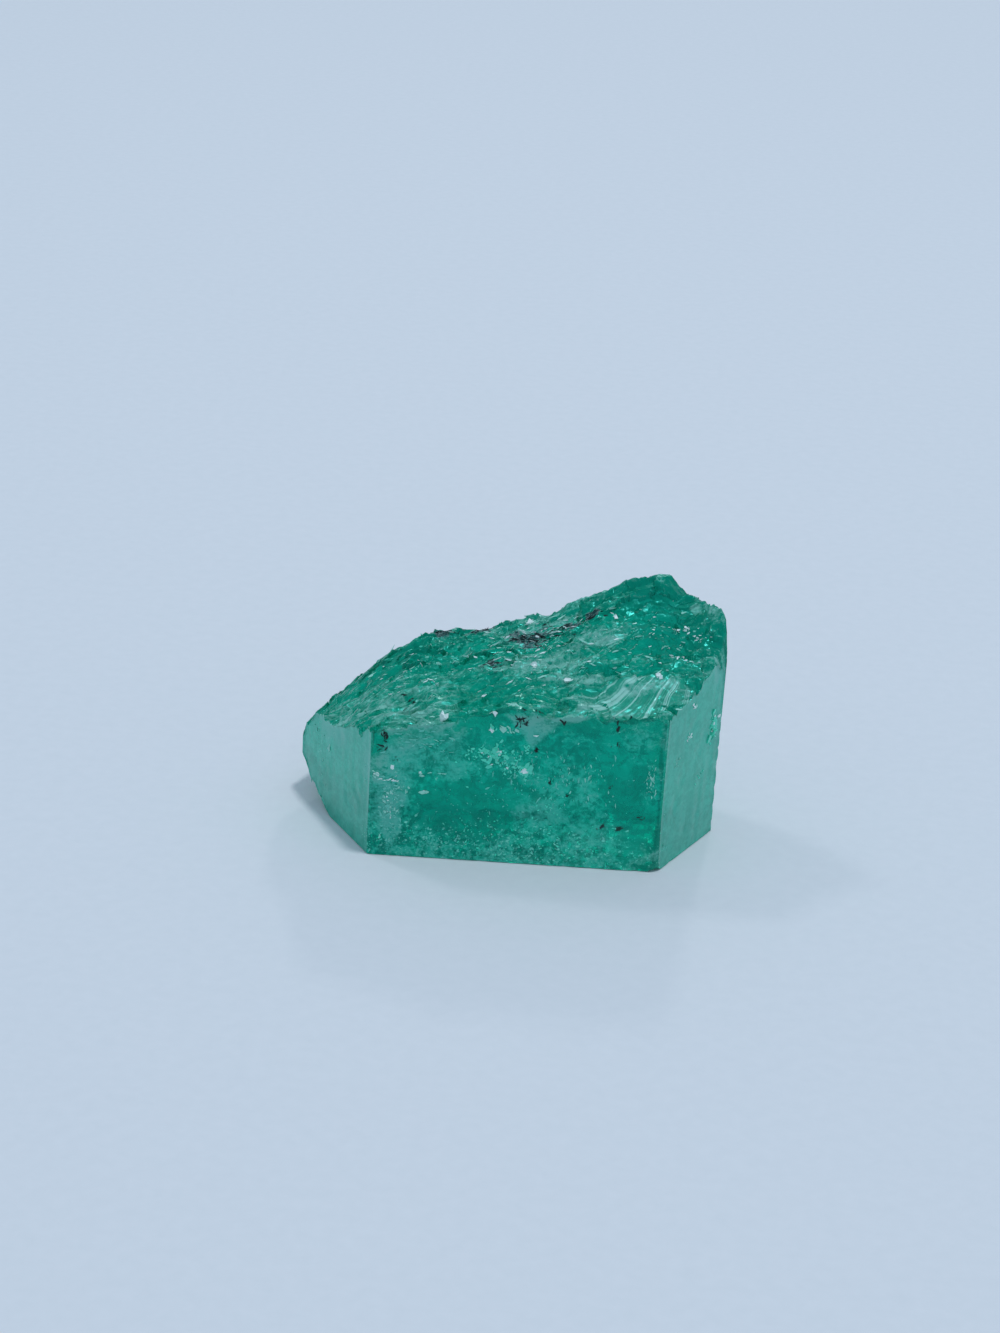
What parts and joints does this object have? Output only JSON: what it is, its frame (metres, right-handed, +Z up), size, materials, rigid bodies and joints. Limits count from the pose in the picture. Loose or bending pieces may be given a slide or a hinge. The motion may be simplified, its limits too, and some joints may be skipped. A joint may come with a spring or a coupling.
{
  "type": "raw emerald crystal",
  "caption": "Uncut emerald: a six-sided beryl prism that stands on its flat base, with a rough broken top sloping up to a ridge at the rear.",
  "frame": {"origin": "centre of the foot of the crystal's box, on the flat base it rests on", "axes": "+Z up along the prism's c axis; +X along the wide front face, towards the tall end; -Y out of the wide front face"},
  "size_m": [0.0144, 0.0064, 0.0087],
  "materials": {
    "emerald": "translucent green beryl: smooth growth faces with faint upright lines, and a glassy, hackly fracture across the top"
  },
  "bodies": {
    "root": {"emerald_crystal": "emerald"}
  },
  "joints": []
}
